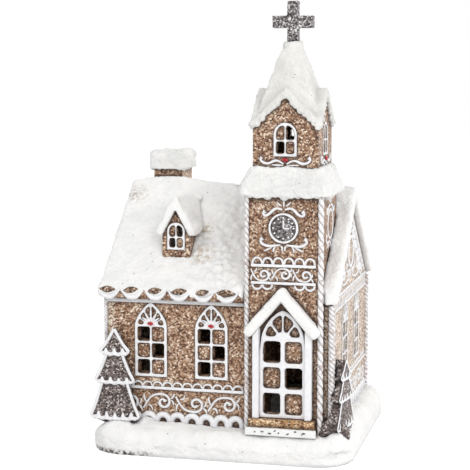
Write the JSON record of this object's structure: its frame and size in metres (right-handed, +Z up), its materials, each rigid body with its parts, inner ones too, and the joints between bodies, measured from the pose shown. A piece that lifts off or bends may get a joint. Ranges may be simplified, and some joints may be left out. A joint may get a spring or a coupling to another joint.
{
  "type": "lighted holiday village church",
  "caption": "Gingerbread-style Christmas village church with a clock tower, spire and cross, snowy roofs, piped icing trim and a battery light under a hinged door in the base.",
  "frame": {"origin": "middle of the base slab's underside, on the surface that the house stands on", "axes": "+X to the right along the front, +Y to the back, +Z up"},
  "size_m": [0.148, 0.146, 0.25],
  "materials": {
    "snow": "matt white snow coat with fine grain",
    "gingerbread": "brown paint under coarse glitter",
    "brick": "brown brick relief dusted with white",
    "golden_glitter": "golden brown coarse glitter",
    "grey_glitter": "grey brown coarse glitter",
    "dark_glitter": "dark grey coarse glitter",
    "icing": "white piped relief, satin",
    "tray_plastic": "moulded white plastic, fine texture",
    "knob_plastic": "black plastic",
    "switch_metal": "tinned sheet",
    "cell_jacket": "plain printed jacket with no text",
    "contact_metal": "nickel plated",
    "screw_steel": "zinc plated",
    "board": "green lacquer",
    "lamp_lens": "clear warm lens",
    "lead_insulation": "soft black insulation"
  },
  "bodies": {
    "house": {"battery_box": "tray_plastic", "battery_cells": "cell_jacket", "battery_contacts": "contact_metal", "belfry_front_wall": "gingerbread", "belfry_left_wall": "gingerbread", "belfry_rear_wall": "gingerbread", "belfry_right_wall": "gingerbread", "belfry_window_front": "icing", "belfry_window_left": "icing", "belfry_window_rear": "icing", "belfry_window_right": "icing", "chimney_snow_cap": "snow", "chimney_stack": "brick", "clock_dial": "dark_glitter", "clock_rim": "icing", "door_frame": "icing", "door_sill": "golden_glitter", "door_step": "snow", "dormer_snow_roof": "snow", "dormer_walls": "gingerbread", "dormer_window": "icing", "lamp_board": "board", "lamp_leads": "lead_insulation", "lamps": "lamp_lens", "nave_front_wall": "gingerbread", "nave_left_gable": "gingerbread", "nave_rear_wall": "gingerbread", "nave_right_gable": "gingerbread", "nave_roof_front": "snow", "nave_roof_rear": "snow", "nave_ropes": "icing", "nave_window_front_left": "icing", "nave_window_front_right": "icing", "nave_window_left_front": "icing", "nave_window_left_rear": "icing", "nave_window_rear_left": "icing", "nave_window_rear_right": "icing", "nave_window_right_front": "icing", "nave_window_right_rear": "icing", "piped_bands": "icing", "porch_posts": "icing", "porch_snow_roof": "snow", "snow_base": "snow", "spire_cross": "dark_glitter", "spire_snow_roof": "snow", "switch_case": "switch_metal", "tower_front_wall": "gingerbread", "tower_left_wall": "gingerbread", "tower_rear_wall": "gingerbread", "tower_right_wall": "gingerbread", "tower_ropes": "icing", "tower_snow_collar": "snow", "tree_front": "grey_glitter", "tree_front_icing": "icing", "tree_side": "grey_glitter", "tree_side_icing": "icing", "unit_screws": "screw_steel"},
    "battery_door": {"battery_door": "tray_plastic"},
    "switch_knob": {"switch_knob": "knob_plastic"}
  },
  "joints": [
    {"name": "battery_door_hinge", "type": "hinge", "parent": "house", "child": "battery_door", "pos_m": [-0.04525, 0.008, 0.0026], "axis": [0, 1, 0], "range_deg": [0, 95]},
    {"name": "switch_slide", "type": "slide", "parent": "house", "child": "switch_knob", "axis": [1, 0, 0], "range_m": [0, 0.004]}
  ]
}
